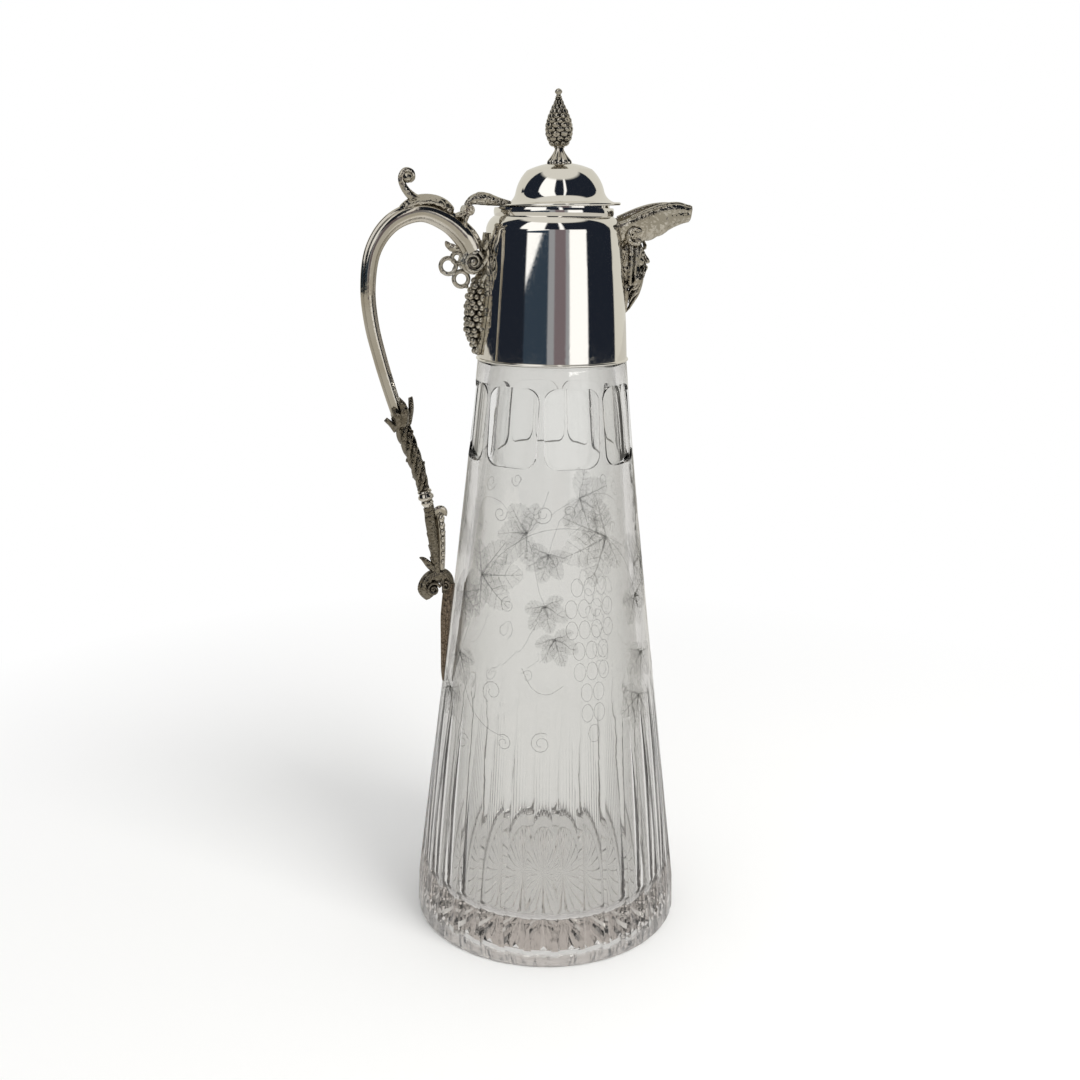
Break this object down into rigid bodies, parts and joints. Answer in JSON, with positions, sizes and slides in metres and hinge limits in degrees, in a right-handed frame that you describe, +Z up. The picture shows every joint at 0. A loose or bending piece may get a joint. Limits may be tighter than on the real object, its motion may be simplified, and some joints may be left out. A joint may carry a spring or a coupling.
{
  "type": "claret jug",
  "caption": "Tapered cut-glass claret jug with a plated collar, mask spout, scroll handle and hinged domed lid with a cone finial.",
  "frame": {"origin": "centre of the foot, on the surface that the jug stands on", "axes": "+Z up, +X towards the spout, -X towards the handle and the lid's hinge"},
  "size_m": [0.1201, 0.1028, 0.31],
  "materials": {
    "glass": "clear polished cut glass",
    "polished_plate": "polished silver plate",
    "oxidised_plate": "oxidised silver plate over cast brass",
    "hardware": "plated turned brass",
    "bedding": "plaster"
  },
  "bodies": {
    "jug": {"glass_body": "glass", "collar": "polished_plate", "collar_rim": "polished_plate", "plaster_bedding": "bedding", "spout_trough": "oxidised_plate", "spout_mask": "oxidised_plate", "spout_scrolls": "oxidised_plate", "handle_bracket": "oxidised_plate", "grape_drop": "oxidised_plate", "handle_volute": "oxidised_plate", "handle_scroll": "oxidised_plate", "vine_rings": "oxidised_plate", "handle_crest": "oxidised_plate", "thumb_scroll": "oxidised_plate", "handle_shaft": "oxidised_plate", "handle_calyx": "oxidised_plate", "handle_knop": "oxidised_plate", "lower_leaf": "oxidised_plate", "bead_strap": "oxidised_plate", "thorn_leaf": "oxidised_plate", "wrap_scroll": "oxidised_plate", "handle_tail": "oxidised_plate", "hinge_lugs": "oxidised_plate", "hinge_pin": "hardware"},
    "lid": {"lid_dome": "polished_plate", "lid_bezel": "polished_plate", "lid_arm": "oxidised_plate", "finial_foot": "oxidised_plate", "finial_cone": "oxidised_plate", "finial_washer": "hardware", "finial_nut": "hardware", "finial_stud": "hardware"}
  },
  "joints": [
    {"name": "lid_hinge", "type": "hinge", "parent": "jug", "child": "lid", "pos_m": [-0.031, 0, 0.2692], "axis": [0, -1, 0], "range_deg": [0, 80]}
  ]
}
